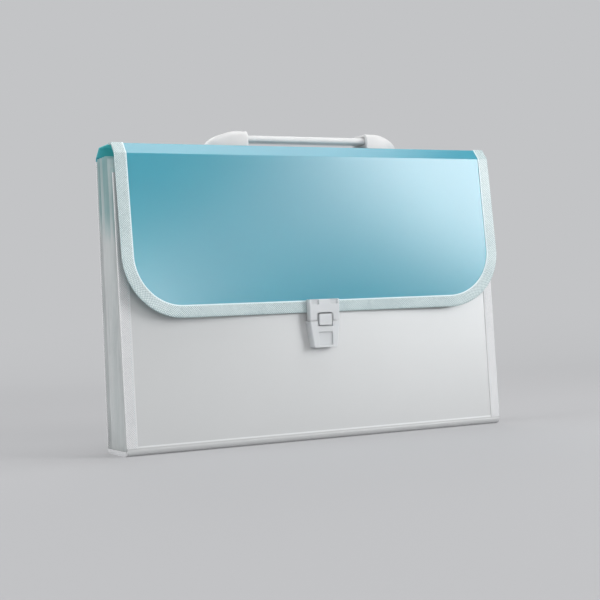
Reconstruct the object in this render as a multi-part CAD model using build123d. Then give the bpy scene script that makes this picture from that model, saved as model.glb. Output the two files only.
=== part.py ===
from build123d import *
import os
from math import atan, cos, radians, sin, sqrt, tan

# Expanding file for A4 papers, in millimetres.
# X runs along the width, Y from front to back, Z up. The origin is the centre of the base.

# Cover
cover_width = 330.0
cover_depth = 43.3
cover_thickness = 0.8
cover_fold_radius = 4.0
back_edge_drop = 10.0
front_edge_drop = 27.0
front_lean = 1.85
base_crease_height = 5.2
base_crease_gap = 0.3

# Woven binding tape, folded round the edge of a sheet
tape_thickness = 0.45
tape_wrap = 0.6
tape_fit = 0.03
side_tape_width = 8.5
flap_tape_width = 9.5
base_lip_height = 3.4
top_tape_length = 4.0

# Flap
flap_thickness = 0.6
flap_top_height = 230.0
rear_crease_drop = 7.5
rear_bevel_depth = 8.0
rear_crease_gap = 0.5
front_crease_set_back = 7.65
front_crease_gap = 0.3
front_bevel_depth = 6.1
front_bevel_drop = 8.0
flap_edge_height = 99.4
flap_middle_reach = 1.1
flap_corner_reach = 11.7
flap_corner_radius = 47.0
back_overlap_length = 57.0
sewn_gap = 0.05

# Pockets
pocket_count = 6
divider_thickness = 0.4
tab_headroom = 13.37
divider_corner_radius = 5.0
tab_width = 44.0
tab_height = 13.0
tab_end_margin = 30.0
tab_corner_radius = 3.0
label_width = 38.0
label_height = 9.0
label_thickness = 0.2
floor_clearance = 0.35
gusset_thickness = 0.3
gusset_fold_depth = 20.0
gusset_clearance = 0.3
side_clearance = 0.3

# Handle
handle_offset = -1.0
handle_opening = 106.0
cap_length = 31.0
cap_width = 25.0
cap_height = 11.7
cap_tip_height = 2.0
cap_tip_width = 12.0
cap_flat_length = 7.0
cap_wall = 1.7
cap_cavity_length = 17.0
cap_lip_depth = 2.0
cap_corner_radius = 4.5
strap_width = 16.0
strap_thickness = 4.6
strap_lift = 4.3
strap_edge_radius = 1.4
strap_grip_length = 60.0
strap_joint_gap = 0.3
strap_head_width = 19.0
strap_head_length = 5.0
strap_head_inset = 8.5
strap_side_clearance = 0.6
strap_sill_gap = 0.6
handle_rivet_radius = 2.0
handle_rivet_inset = 24.5
handle_rivet_depth = 3.4
handle_rivet_head_radius = 4.0
handle_rivet_head_height = 1.3
handle_plate_length = 30.0
handle_plate_width = 18.0
handle_plate_thickness = 1.2
rivet_fit = 0.05

# Buckle
buckle_width = 26.3
buckle_foot_width = 20.6
buckle_depth = 5.3
buckle_top = 109.5
buckle_split = 92.7
buckle_split_gap = 0.4
buckle_foot = 71.8
buckle_chamfer = 0.6
buckle_wall = 1.5
buckle_corner_radius = 2.0
buckle_seat_gap = 0.12
notch_width = 14.6
notch_top = 99.2
notch_corner_radius = 2.6
shell_cavity_top = 98.6
grip_recess_width = 7.0
grip_recess_height = 3.6
grip_recess_depth = 1.2
grip_rib_width = 9.6
tongue_width = 12.4
tongue_thickness = 1.8
tongue_root = 85.4
tongue_tip = 98.0
tongue_set_back = 2.0
tongue_clearance = 0.3
tongue_travel_room = 2.4
button_width = 10.7
button_height = 8.8
button_proud = 0.6
button_foot_gap = 0.9
button_edge_radius = 0.5
square_recess_width = 12.4
square_recess_height = 10.4
square_recess_top = 84.2
square_recess_depth = 1.2
prong_width = 2.4
prong_thickness = 2.2
prong_height = 4.6
prong_clearance = 0.35
buckle_rivet_radius = 1.2
buckle_rivet_spacing = 16.4
buckle_rivet_height = 104.4
buckle_rivet_depth = 3.0
buckle_rivet_head_radius = 2.1
buckle_rivet_head_height = 0.5
buckle_plate_width = 23.0
buckle_plate_height = 7.6
buckle_plate_thickness = 0.8
foot_rivet_spacing = 10.0
foot_rivet_height = 79.0
foot_plate_width = 16.0
foot_plate_height = 9.0

# Sizes and places worked out from the sizes above
back_height = flap_top_height - back_edge_drop
front_height = flap_top_height - front_edge_drop
rear_crease_height = flap_top_height - rear_crease_drop
half_width = cover_width / 2
sheet_half_width = half_width - tape_wrap
cover_middle = cover_depth / 2 - cover_thickness / 2
lean_rise = tan(radians(front_lean))
front_pivot = Vector(0, -cover_middle, base_crease_height)
back_inner = cover_depth / 2 - cover_thickness
flap_top_middle = flap_top_height - flap_thickness / 2
rear_crease_y = cover_depth / 2 + sewn_gap + flap_thickness / 2
rear_bevel_y = rear_crease_y - rear_bevel_depth
front_crease_y = -(cover_depth / 2 - front_crease_set_back)
lower_crease_y = front_crease_y - front_bevel_depth
lower_crease_z = flap_top_middle - front_bevel_drop
binding_thickness = tape_thickness + tape_fit
flap_binding_half = flap_thickness / 2 + binding_thickness
cover_binding_half = cover_thickness / 2 + binding_thickness
buckle_back = lower_crease_y - flap_middle_reach - flap_binding_half - buckle_seat_gap
buckle_front = buckle_back - buckle_depth
pocket_floor = cover_thickness + binding_thickness + floor_clearance
divider_height = flap_top_height - tab_headroom - tab_height - pocket_floor
far = 4 * cover_width

front_plane = Plane(
    origin=front_pivot,
    x_dir=(1, 0, 0),
    z_dir=(0, -cos(radians(front_lean)), sin(radians(front_lean))),
)
back_plane = Plane(origin=(0, cover_middle, 0), x_dir=(1, 0, 0), z_dir=(0, -1, 0))


def solid_of(shape):
    """The one solid in a shape, or the shape itself where it holds several."""
    solids = shape.solids()
    return solids[0] if len(solids) == 1 else Compound(solids)


def beside(points, distance):
    """The line through the points, moved to its left by the distance."""
    moved = []
    for index, point in enumerate(points):
        here = Vector(*point)
        before = (here - Vector(*points[index - 1])).normalized() if index > 0 else None
        after = (Vector(*points[index + 1]) - here).normalized() if index < len(points) - 1 else None
        before = before or after
        after = after or before
        normal = Vector(-before.Y - after.Y, before.X + after.X).normalized()
        stretch = normal.dot(Vector(-before.Y, before.X))
        moved.append(here + normal * (distance / stretch))
    return moved


def sheet_on_edge(points, thickness, x_from, x_to, fold_radius=None):
    """A bent sheet, drawn edge on in the YZ plane with round ends, and run along X."""
    half = thickness / 2
    left = beside(points, half)
    right = beside(points, -half)
    if fold_radius is None:
        sides = [Polyline(*left), Polyline(*right)]
    else:
        first = left[1] - left[0]
        turns_left = first.cross(left[2] - left[1]).Z > 0
        grow = -half if turns_left else half
        sides = [
            FilletPolyline(*left, radius=fold_radius + grow),
            FilletPolyline(*right, radius=fold_radius - grow),
        ]
    ends = []
    for index, inward in ((0, 1), (-1, -2)):
        end = Vector(*points[index])
        out = (end - Vector(*points[inward])).normalized()
        ends.append(ThreePointArc(left[index], end + out * half, right[index]))
    edges = [edge for line in sides + ends for edge in line.edges()]
    face = make_face(edges).face()
    if face.normal_at().Z < 0:
        face = -face
    return Pos(x_from, 0, 0) * extrude(Plane.YZ * face, x_to - x_from)


def box_between(x_from, x_to, y_from, y_to, z_from, z_to):
    """A box given by its lowest and highest corners."""
    size = (x_to - x_from, y_to - y_from, z_to - z_from)
    return Pos((x_from + x_to) / 2, (y_from + y_to) / 2, (z_from + z_to) / 2) * Box(*size)


def clipped_rectangle(width, height):
    """A rectangle with its corners cut off."""
    face = Rectangle(width, height)
    return chamfer(face.vertices(), min(width, height) / 6)


def both_sides(shape):
    """The shape and its mirror image across the YZ plane."""
    return [shape, mirror(shape, Plane.YZ)]


def binding_channel(plane, core_thickness, low, high):
    """Tape folded round the right-hand edge of a flat sheet that lies on the plane."""
    outer_half = core_thickness / 2 + binding_thickness
    outside = Pos(half_width - side_tape_width / 2, (low + high) / 2, 0) * Box(
        side_tape_width, high - low, 2 * outer_half
    )
    rim = outside.edges().filter_by(Axis.Y).group_by(Axis.X)[-1]
    outside = fillet(rim, 0.7 * outer_half)
    groove_depth = side_tape_width - tape_wrap + tape_fit
    groove = Pos(half_width - side_tape_width - 1 + (groove_depth + 1) / 2, (low + high) / 2, 0) * Box(
        groove_depth + 1, high - low + 2, core_thickness + 2 * tape_fit
    )
    return plane * (outside - groove)


# Cover sheets

def back_and_base_form(thickness):
    """The front fold, the flat base, the back fold and the back wall, at a thickness."""
    middle = cover_thickness / 2
    points = [
        (-cover_middle, base_crease_height - base_crease_gap - middle),
        (-cover_middle, middle),
        (cover_middle, middle),
        (cover_middle, back_height - middle),
    ]
    fold_radius = cover_fold_radius - middle
    return sheet_on_edge(points, thickness, -sheet_half_width, sheet_half_width, fold_radius)


def front_panel():
    """The leaning front wall, with holes for the buckle's rivets."""
    height = front_height - base_crease_gap
    outline = Pos(0, base_crease_gap + height / 2) * Rectangle(2 * sheet_half_width, height)
    panel = front_plane * extrude(outline, cover_thickness / 2, both=True)
    for hole in front_rivet_holes():
        panel -= hole
    return panel


def base_binding(side):
    """A strip of tape turned up as a lip round one end of the base."""
    flat_half = cover_depth / 2 - cover_fold_radius
    lip = box_between(
        sheet_half_width + tape_fit, half_width, -flat_half, flat_half, 0, base_lip_height
    )
    foot = box_between(
        half_width - side_tape_width, half_width, -flat_half, flat_half,
        cover_thickness, cover_thickness + tape_thickness,
    )
    strip = fillet((lip + foot).edges().filter_by(Axis.Y).group_by(Axis.Z)[-1], 0.2)
    return strip if side > 0 else mirror(strip, Plane.YZ)


# Pockets

def gusset_back_y():
    """Where the pleats start, clear of the tape on the back wall."""
    return back_inner - binding_thickness - gusset_clearance


def gusset_front_y(height):
    """Where the pleats end at a height, clear of the tape on the leaning front wall."""
    panel = -cover_middle + (height - base_crease_height) * lean_rise
    return panel + cover_binding_half / cos(radians(front_lean)) + gusset_clearance


def pleat_y(share, height):
    """The place of a pleat or divider, as a share of the way from back to front."""
    return gusset_back_y() + share * (gusset_front_y(height) - gusset_back_y())


def pleat_slope():
    """Mean rise of a pleat's leg: how far it goes in Y for each millimetre in X."""
    depth = pleat_y(0, 0) - pleat_y(1, (pocket_floor + back_height) / 2)
    return depth / pocket_count / 2 / gusset_fold_depth


def pleat_half_run():
    """Half of the film's thickness as it is met along X."""
    return gusset_thickness / 2 / sin(atan(pleat_slope()))


def ridge_x():
    """The pleats' outer folds, on the film's middle."""
    return sheet_half_width - side_clearance - pleat_half_run()


def pleat_section(height):
    """The folded film cut level: sharp folds outward at the walls, inward between them."""
    half_run = pleat_half_run()
    folds = []
    for step in range(2 * pocket_count + 1):
        x = ridge_x() - (gusset_fold_depth if step % 2 else 0)
        folds.append((x, pleat_y(step / (2 * pocket_count), height)))
    outer = [(x + half_run, y, height) for x, y in folds]
    inner = [(x - half_run, y, height) for x, y in reversed(folds)]
    return make_face(Polyline(*outer, *inner, close=True))


def gusset(side):
    """Pleated film at one end, its top edge dropping towards the lower front."""
    top = back_height - gusset_clearance
    film = loft([pleat_section(pocket_floor), pleat_section(top)], ruled=True)
    front_top = base_crease_height + front_height * cos(radians(front_lean))
    rise = (top - front_top) / (pleat_y(0, top) - pleat_y(1, front_top))
    cutter_plane = Plane(
        origin=(0, pleat_y(0, top), top), x_dir=(1, 0, 0), z_dir=(0, -sin(atan(rise)), cos(atan(rise)))
    )
    above = cutter_plane * (Pos(0, 0, cover_depth) * Box(2 * cover_width, far, 2 * cover_depth))
    film -= above
    film -= back_and_base_form(cover_thickness + 2 * gusset_clearance)
    return film if side > 0 else mirror(film, Plane.YZ)


def divider_plane(number):
    """The middle of a divider, standing on its bottom edge, facing the front."""
    share = number / pocket_count
    low = pleat_y(share, pocket_floor)
    high = pleat_y(share, pocket_floor + divider_height)
    lean = atan((high - low) / divider_height)
    return Plane(origin=(0, low, pocket_floor), x_dir=(1, 0, 0), z_dir=(0, -cos(lean), sin(lean)))


def tab_x(number):
    """The tabs step across the width, so that each one can be read."""
    reach = divider_half_width() - tab_end_margin - tab_width / 2
    return reach * (2 * (number - 1) / (pocket_count - 2) - 1)


def divider_half_width():
    """A divider stops where the gusset's fold has closed to its thickness."""
    fold_inside = ridge_x() - pleat_half_run()
    return fold_inside - (divider_thickness / 2 + side_clearance / 3) / pleat_slope()


def divider(number):
    """One pocket wall with its index tab."""
    sheet = Pos(0, divider_height / 2) * Rectangle(2 * divider_half_width(), divider_height)
    sheet = fillet(sheet.vertices().group_by(Axis.Y)[-1], divider_corner_radius)
    tab = Pos(tab_x(number), divider_height) * Rectangle(tab_width, 2 * tab_height)
    tab = fillet(tab.vertices().group_by(Axis.Y)[-1], tab_corner_radius)
    return divider_plane(number) * extrude(sheet + tab, divider_thickness / 2, both=True)


def index_label(number):
    """A blank paper label on the front of a tab."""
    place = Pos(tab_x(number), divider_height + tab_height / 2, divider_thickness / 2)
    return divider_plane(number) * place * extrude(Rectangle(label_width, label_height), label_thickness)


# Flap

def flap_back_sheet():
    """The flap's overlap, sewn to the outside of the back wall between its tapes."""
    gap = rear_crease_gap + flap_thickness / 2
    points = [(rear_crease_y, rear_crease_height - back_overlap_length), (rear_crease_y, rear_crease_height - gap)]
    reach = half_width - side_tape_width - side_clearance
    return sheet_on_edge(points, flap_thickness, -reach, reach)


def towards(start, end, distance):
    """A point that far from start on the way to end."""
    span = sqrt((end[0] - start[0]) ** 2 + (end[1] - start[1]) ** 2)
    share = distance / span
    return (start[0] + share * (end[0] - start[0]), start[1] + share * (end[1] - start[1]))


rear_crease = (rear_crease_y, rear_crease_height)
rear_corner = (rear_bevel_y, flap_top_middle)
front_crease = (front_crease_y, flap_top_middle)
lower_crease = (lower_crease_y, lower_crease_z)


def flap_top_strip():
    """The top of the flap with its rear bevel, between the two creases that open it."""
    points = [
        towards(front_crease, rear_corner, front_crease_gap + flap_thickness / 2),
        rear_corner,
        towards(rear_crease, rear_corner, rear_crease_gap + flap_thickness / 2),
    ]
    strip = sheet_on_edge(points, flap_thickness, -sheet_half_width, sheet_half_width, 2 * flap_thickness)
    for side in (-1, 1):
        hole = Pos(side * handle_rivet_x(), handle_offset, flap_top_middle) * Cylinder(
            handle_rivet_radius + rivet_fit, 4 * flap_thickness
        )
        strip -= hole
    return strip


def flap_top_binding():
    """The ends of the flap's tape where they turn over onto the top, one at each side."""
    start = front_crease_y + front_crease_gap + flap_binding_half
    tape = box_between(
        half_width - flap_tape_width, half_width, start, start + top_tape_length,
        flap_top_middle - flap_binding_half, flap_top_middle + flap_binding_half,
    )
    tape = fillet(tape.edges().filter_by(Axis.Y).group_by(Axis.X)[-1], 0.7 * flap_binding_half)
    core = box_between(
        0, sheet_half_width + tape_fit, start - 1, start + top_tape_length + 1,
        flap_top_middle - flap_thickness / 2 - tape_fit, flap_top_middle + flap_thickness / 2 + tape_fit,
    )
    return Compound([solid_of(part) for part in both_sides(tape - core)])


def flap_front_section(x, thickness, gap):
    """The flap cut across at a place along its width: bevel, crease and leaning front."""
    spread = (x / half_width) ** 2
    reach = flap_middle_reach + (flap_corner_reach - flap_middle_reach) * spread
    low_end = (lower_crease_y - reach, flap_edge_height)
    length = lower_crease_z - flap_edge_height + 1
    points = [towards(front_crease, lower_crease, gap), lower_crease, towards(lower_crease, low_end, length)]
    outline = beside(points, thickness / 2) + list(reversed(beside(points, -thickness / 2)))
    face = make_face(Polyline(*outline, close=True))
    return Plane(origin=(x, 0, 0), x_dir=(0, 1, 0), z_dir=(1, 0, 0)) * face


def flap_front_form(thickness, half, gap):
    """The flap's bevel and front: straight at the creases, its lower corners sprung forward."""
    places = (-half, 0, half)
    return loft([flap_front_section(x, thickness, gap) for x in places])


def flap_outline(inset):
    """The flap's front seen from the front, with round lower corners, as a deep block."""
    low = flap_edge_height + inset
    high = lower_crease_z + cover_depth
    face = Pos(0, (low + high) / 2) * Rectangle(2 * (half_width - inset), high - low)
    face = fillet(face.vertices().group_by(Axis.Y)[0], flap_corner_radius - inset)
    return extrude(Plane.XZ * face, 3 * cover_depth, both=True)


def flap_front_sheet():
    """Bevel and front of the flap in one sheet, with holes for the buckle's rivets."""
    sheet = flap_front_form(flap_thickness, half_width, front_crease_gap) & flap_outline(tape_wrap)
    for hole in rivet_shanks(buckle_rivet_spacing, buckle_rivet_height, rivet_fit):
        sheet -= hole
    return sheet


def flap_front_binding():
    """Tape sewn round the flap's sides, round corners and lower edge."""
    tape = flap_front_form(2 * flap_binding_half, half_width + 1, front_crease_gap) & flap_outline(0)
    tape -= flap_outline(flap_tape_width)
    core = flap_front_form(flap_thickness + 2 * tape_fit, half_width + 2, -flap_thickness)
    tape -= core & flap_outline(tape_wrap - tape_fit)
    for hole in rivet_shanks(buckle_rivet_spacing, buckle_rivet_height, rivet_fit):
        tape -= hole
    return tape


# Handle

def face_within(*lines):
    """The flat face that a closed row of lines and arcs goes round."""
    return make_face([edge for line in lines for edge in line.edges()])


def cap_outlines():
    """The cap seen from the front, from above and from its mouth, run on past its mouth and base."""
    half = cap_width / 2
    tip_half = cap_tip_width / 2
    side = face_within(
        Polyline((cap_length, cap_tip_height), (cap_length, -far), (-far, -far), (-far, cap_height)),
        Line((-far, cap_height), (cap_flat_length, cap_height)),
        TangentArc((cap_flat_length, cap_height), (cap_length, cap_tip_height), tangent=(1, 0)),
    )
    plan = face_within(
        Polyline((cap_flat_length, -half), (-far, -half), (-far, half), (cap_flat_length, half)),
        TangentArc((cap_flat_length, half), (cap_length, tip_half), tangent=(1, 0)),
        Line((cap_length, tip_half), (cap_length, -tip_half)),
        TangentArc((cap_flat_length, -half), (cap_length, -tip_half), tangent=(1, 0)),
    )
    mouth = Pos(0, (cap_height - far) / 2) * Rectangle(cap_width, cap_height + far)
    mouth = fillet(mouth.vertices().group_by(Axis.Y)[-1], cap_corner_radius)
    return side, plan, mouth


def cap_form(inset, x_from, x_to, z_from):
    """The cap's outside, or its inside at an inset, where its three outlines cross."""
    side, plan, mouth = cap_outlines()
    if inset > 0:
        side, plan, mouth = (offset(face, -inset, kind=Kind.INTERSECTION) for face in (side, plan, mouth))
    form = extrude(Plane.XZ * side, far, both=True) & extrude(plan, far, both=True)
    form &= extrude(Plane.YZ * mouth, far, both=True)
    return form & box_between(x_from, x_to, -cap_width, cap_width, z_from, cap_height)


def handle_rivet_x():
    """Where the rivets stand, from the middle of the handle."""
    return handle_opening / 2 + handle_rivet_inset


def handle_cap(side):
    """A domed cap, hollow and open towards the strap over a sill, with a bore for its rivet."""
    cap = cap_form(0, 0, cap_length, 0)
    cavity = cap_form(cap_wall, -1, cap_cavity_length, -1)
    lip_half = strap_width / 2 + strap_side_clearance
    for edge in (-1, 1):
        keep = box_between(
            -2, cap_lip_depth, edge * lip_half if edge > 0 else -cap_width,
            cap_width if edge > 0 else edge * lip_half, -1, cap_height,
        )
        cavity -= keep
    cavity -= box_between(-2, cap_lip_depth, -cap_width, cap_width, -1, strap_lift - strap_sill_gap)
    cap -= cavity
    cap -= Pos(handle_rivet_inset, 0, handle_rivet_depth / 2) * Cylinder(
        handle_rivet_radius + rivet_fit, handle_rivet_depth
    )
    cap = Pos(handle_opening / 2, handle_offset, flap_top_height) * cap
    return cap if side > 0 else mirror(cap, Plane.YZ)


def strap_bar(x_from, x_to, width):
    """A straight stretch of the strap with rounded long edges."""
    bar = Box(x_to - x_from, width, strap_thickness)
    bar = fillet(bar.edges().filter_by(Axis.X), strap_edge_radius)
    height = flap_top_height + strap_lift + strap_thickness / 2
    return Pos((x_from + x_to) / 2, handle_offset, height) * bar


def handle_strap_grip():
    """The middle of the strap, which the hand lifts."""
    return strap_bar(-strap_grip_length / 2, strap_grip_length / 2, strap_width)


def handle_strap_end(side):
    """The stretch of strap that bows, with the wide head that the cap holds."""
    head_from = handle_opening / 2 + strap_head_inset
    end = strap_bar(strap_grip_length / 2 + strap_joint_gap, head_from + 1, strap_width)
    end += strap_bar(head_from, head_from + strap_head_length, strap_head_width)
    return end if side > 0 else mirror(end, Plane.YZ)


def handle_backing_plates():
    """Plates under the flap that spread the pull of the rivets."""
    plates = []
    for side in (-1, 1):
        outline = clipped_rectangle(handle_plate_length, handle_plate_width)
        plate = extrude(outline, -handle_plate_thickness)
        plate -= Cylinder(handle_rivet_radius + rivet_fit, 4 * handle_plate_thickness)
        place = Pos(side * handle_rivet_x(), handle_offset, flap_top_height - flap_thickness)
        plates.append(solid_of(place * plate))
    return Compound(plates)


def handle_rivets():
    """Rivets that hold the caps, the flap and the plates together."""
    rivets = []
    for side in (-1, 1):
        grip = flap_thickness + handle_plate_thickness
        head = Pos(0, 0, -grip - handle_rivet_head_height / 2) * Cylinder(
            handle_rivet_head_radius, handle_rivet_head_height
        )
        length = grip + handle_rivet_depth - 0.2
        shank = Pos(0, 0, length / 2 - grip) * Cylinder(handle_rivet_radius, length)
        place = Pos(side * handle_rivet_x(), handle_offset, flap_top_height)
        rivets.append(solid_of(place * (head + shank)))
    return Compound(rivets)


# Buckle

def rivet_shanks(spacing, height, fit):
    """The two shanks of one half of the buckle, long enough to cut any hole for them."""
    reach = cover_depth
    shank = Rot(90, 0, 0) * Cylinder(buckle_rivet_radius + fit, reach)
    return [Pos(side * spacing / 2, buckle_back, height) * shank for side in (-1, 1)]


def seated_plate(width, height, back, middle_height, spacing):
    """A small plate with clipped corners and two holes, its front face against back."""
    face = Plane.XZ * clipped_rectangle(width, height)
    plate = Pos(0, back, middle_height) * extrude(face, -buckle_plate_thickness)
    for hole in rivet_shanks(spacing, middle_height, rivet_fit):
        plate -= hole
    return plate


def headed_rivets(spacing, height, head_y, tip_y):
    """Two rivets along Y, with their heads behind and their tips inside the buckle."""
    rivets = []
    for side in (-1, 1):
        shank = Rot(90, 0, 0) * Cylinder(buckle_rivet_radius, head_y - tip_y)
        shank = Pos(0, (head_y + tip_y) / 2, 0) * shank
        head = Rot(90, 0, 0) * Cylinder(buckle_rivet_head_radius, buckle_rivet_head_height)
        head = Pos(0, head_y + buckle_rivet_head_height / 2, 0) * head
        rivets.append(solid_of(Pos(side * spacing / 2, 0, height) * (shank + head)))
    return Compound(rivets)


def blind_bores(spacing, height, depth):
    """Bores for the rivets, from the back of the buckle."""
    bore = Rot(90, 0, 0) * Cylinder(buckle_rivet_radius + rivet_fit, depth)
    return [Pos(side * spacing / 2, buckle_back - depth / 2, height) * bore for side in (-1, 1)]


def flap_inner_face():
    """The back of the tape on the flap's lower edge, at the middle."""
    return lower_crease_y - flap_middle_reach + flap_binding_half + buckle_seat_gap


def buckle_block(top, foot, top_width, foot_width, back):
    """A tapered block seen from the front, with chamfered front edges."""
    outline = Polyline(
        (-foot_width / 2, foot), (foot_width / 2, foot), (top_width / 2, top), (-top_width / 2, top), close=True
    )
    block = extrude(Plane.XZ * make_face(outline), back - buckle_front)
    block = Pos(0, back, 0) * block
    front_edges = block.edges().group_by(Axis.Y)[0]
    upright = front_edges.sort_by(Axis.X)
    return chamfer([upright[0], upright[-1]], buckle_chamfer)


def buckle_upper_half():
    """The moulded shell on the flap: hollow below, solid above, with a notch for the button."""
    shell = buckle_block(buckle_top, buckle_split + buckle_split_gap / 2, buckle_width, buckle_width, buckle_back)
    crown = shell.faces().sort_by(Axis.Z)[-1]
    shell = fillet(crown.edges().filter_by(Axis.X), 0.6)
    inside = buckle_width / 2 - buckle_wall
    shell -= box_between(
        -inside, inside, buckle_front + buckle_wall, buckle_back + 1, buckle_split - 1, shell_cavity_top
    )
    low = buckle_split - 2
    notch = Pos(0, (low + notch_top) / 2) * Rectangle(notch_width, notch_top - low)
    notch = fillet(notch.vertices().group_by(Axis.Y)[-1], notch_corner_radius)
    notch = extrude(Plane.XZ * notch, buckle_wall + 2)
    shell -= Pos(0, buckle_front + buckle_wall + 0.5, 0) * notch
    for side in (-1, 1):
        middle = side * (grip_rib_width + grip_recess_width) / 2
        dish = Pos(middle, buckle_front, buckle_top - 0.5 - grip_recess_height / 2) * Box(
            grip_recess_width, 2 * grip_recess_depth, grip_recess_height
        )
        dish = fillet(dish.edges().filter_by(Axis.Y), 0.5)
        shell -= dish
    for bore in blind_bores(buckle_rivet_spacing, buckle_rivet_height, buckle_rivet_depth):
        shell -= bore
    return shell


def buckle_lower_half():
    """The tapered moulding on the front panel, with the tongue's slot and two guide prongs."""
    top = buckle_split - buckle_split_gap / 2
    block = buckle_block(top, buckle_foot, buckle_width, buckle_foot_width, 0)
    foot_edges = block.faces().sort_by(Axis.Z)[0].edges().filter_by(Axis.Y)
    block = fillet(foot_edges, buckle_corner_radius)
    prong_middle = buckle_width / 2 - buckle_wall - prong_clearance - prong_width / 2
    for side in (-1, 1):
        low = top - 2
        high = top + prong_height
        front = buckle_front + buckle_wall + prong_clearance
        prong = box_between(
            side * prong_middle - prong_width / 2, side * prong_middle + prong_width / 2,
            front, front + prong_thickness, low, high,
        )
        prong = chamfer(prong.faces().sort_by(Axis.Z)[-1].edges(), 0.5)
        block += prong
    slot_half = tongue_width / 2 + tongue_clearance
    slot_face = buckle_front + tongue_set_back - tongue_clearance
    slot_floor = buckle_front + tongue_set_back + tongue_thickness + tongue_travel_room
    block -= box_between(
        -slot_half, slot_half, slot_face, slot_floor, tongue_root - tongue_clearance, top + 9
    )
    block -= box_between(
        -slot_half, slot_half, buckle_front - 1, slot_floor, tongue_tip - button_height - button_foot_gap, top + 9
    )
    dish = Pos(0, buckle_front, square_recess_top - square_recess_height / 2 - 0.3) * Box(
        square_recess_width, 2 * square_recess_depth, square_recess_height
    )
    block -= fillet(dish.edges().filter_by(Axis.Y), 0.8)
    panel_face = cover_thickness / 2 + sewn_gap
    outside = front_plane * (Pos(0, 0, panel_face + cover_depth / 2) * Box(cover_width, far, cover_depth))
    block &= outside
    for bore in foot_bores():
        block -= bore
    return block


def foot_bores():
    """Bores in the lower half, square to the leaning panel."""
    bore = Cylinder(buckle_rivet_radius + rivet_fit, 2 * buckle_rivet_depth)
    return [foot_rivet_place(side) * bore for side in (-1, 1)]


def foot_rivet_place(side):
    """Where a rivet of the lower half meets the outer face of the panel."""
    along = (foot_rivet_height - base_crease_height) / cos(radians(front_lean))
    return front_plane * Pos(side * foot_rivet_spacing / 2, along, cover_thickness / 2)


def front_rivet_holes():
    """Holes through the panel for the rivets of the lower half."""
    hole = Cylinder(buckle_rivet_radius + rivet_fit, 6 * cover_thickness)
    return [foot_rivet_place(side) * hole for side in (-1, 1)]


def buckle_lower_backing():
    """The plate on the inside of the front panel."""
    along = (foot_rivet_height - base_crease_height) / cos(radians(front_lean))
    place = front_plane * Pos(0, along, -cover_thickness / 2 - sewn_gap - buckle_plate_thickness)
    plate = place * extrude(clipped_rectangle(foot_plate_width, foot_plate_height), buckle_plate_thickness)
    for hole in front_rivet_holes():
        plate -= hole
    return plate


def buckle_lower_rivets():
    """Rivets from the inside of the front panel into the lower half."""
    rivets = []
    behind = cover_thickness + sewn_gap + buckle_plate_thickness
    length = behind + buckle_rivet_depth - 0.3
    for side in (-1, 1):
        shank = Pos(0, 0, length / 2 - behind) * Cylinder(buckle_rivet_radius, length)
        head = Cylinder(buckle_rivet_head_radius, buckle_rivet_head_height)
        head = Pos(0, 0, -behind - buckle_rivet_head_height / 2) * head
        rivets.append(solid_of(foot_rivet_place(side) * (shank + head)))
    return Compound(rivets)


def buckle_release_tongue():
    """The springy tongue with its square button, which stands in the notch."""
    front = buckle_front + tongue_set_back
    plate = box_between(
        -tongue_width / 2, tongue_width / 2, front, front + tongue_thickness, tongue_root, tongue_tip
    )
    button = box_between(
        -button_width / 2, button_width / 2, buckle_front - button_proud, front + tongue_thickness / 2,
        tongue_tip - button_height, tongue_tip,
    )
    button = fillet(button.edges().filter_by(Axis.Y), button_edge_radius)
    return plate + button


def write(name, shape):
    """One sub-part, one file."""
    shape = solid_of(shape)
    shape.label = name
    export_step(shape, f"parts/{name}.step")


os.makedirs("parts", exist_ok=True)

write("back_and_base_sheet", back_and_base_form(cover_thickness))
write("front_panel", front_panel())
right_back_tape = binding_channel(back_plane, cover_thickness, cover_fold_radius + 1, back_height)
right_front_tape = binding_channel(front_plane, cover_thickness, 2 * base_crease_gap, front_height)
for side, word in ((-1, "left"), (1, "right")):
    tapes = (("back", right_back_tape), ("front", right_front_tape))
    for wall, tape in tapes:
        write(f"{wall}_binding_{word}", tape if side > 0 else mirror(tape, Plane.YZ))
    write(f"base_binding_{word}", base_binding(side))
    write(f"gusset_{word}", gusset(side))
    write(f"handle_cap_{word}", handle_cap(side))
    write(f"handle_strap_end_{word}", handle_strap_end(side))

for number in range(1, pocket_count):
    write(f"divider_{number}", divider(number))
    write(f"index_label_{number}", index_label(number))

write("flap_back_sheet", flap_back_sheet())
write("flap_top_strip", flap_top_strip())
write("flap_top_binding", flap_top_binding())
write("flap_front_sheet", flap_front_sheet())
write("flap_front_binding", flap_front_binding())
write("handle_strap_grip", handle_strap_grip())
write("handle_backing_plates", handle_backing_plates())
write("handle_rivets", handle_rivets())
write("buckle_upper_half", buckle_upper_half())
write("buckle_upper_backing", seated_plate(
    buckle_plate_width, buckle_plate_height, flap_inner_face(), buckle_rivet_height, buckle_rivet_spacing
))
write("buckle_upper_rivets", headed_rivets(
    buckle_rivet_spacing, buckle_rivet_height, flap_inner_face() + buckle_plate_thickness,
    buckle_back - buckle_rivet_depth + 0.3,
))
write("buckle_lower_half", buckle_lower_half())
write("buckle_lower_backing", buckle_lower_backing())
write("buckle_lower_rivets", buckle_lower_rivets())
write("buckle_release_tongue", buckle_release_tongue())
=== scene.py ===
import math
import bmesh
import bpy
from mathutils import Matrix, Vector


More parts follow.
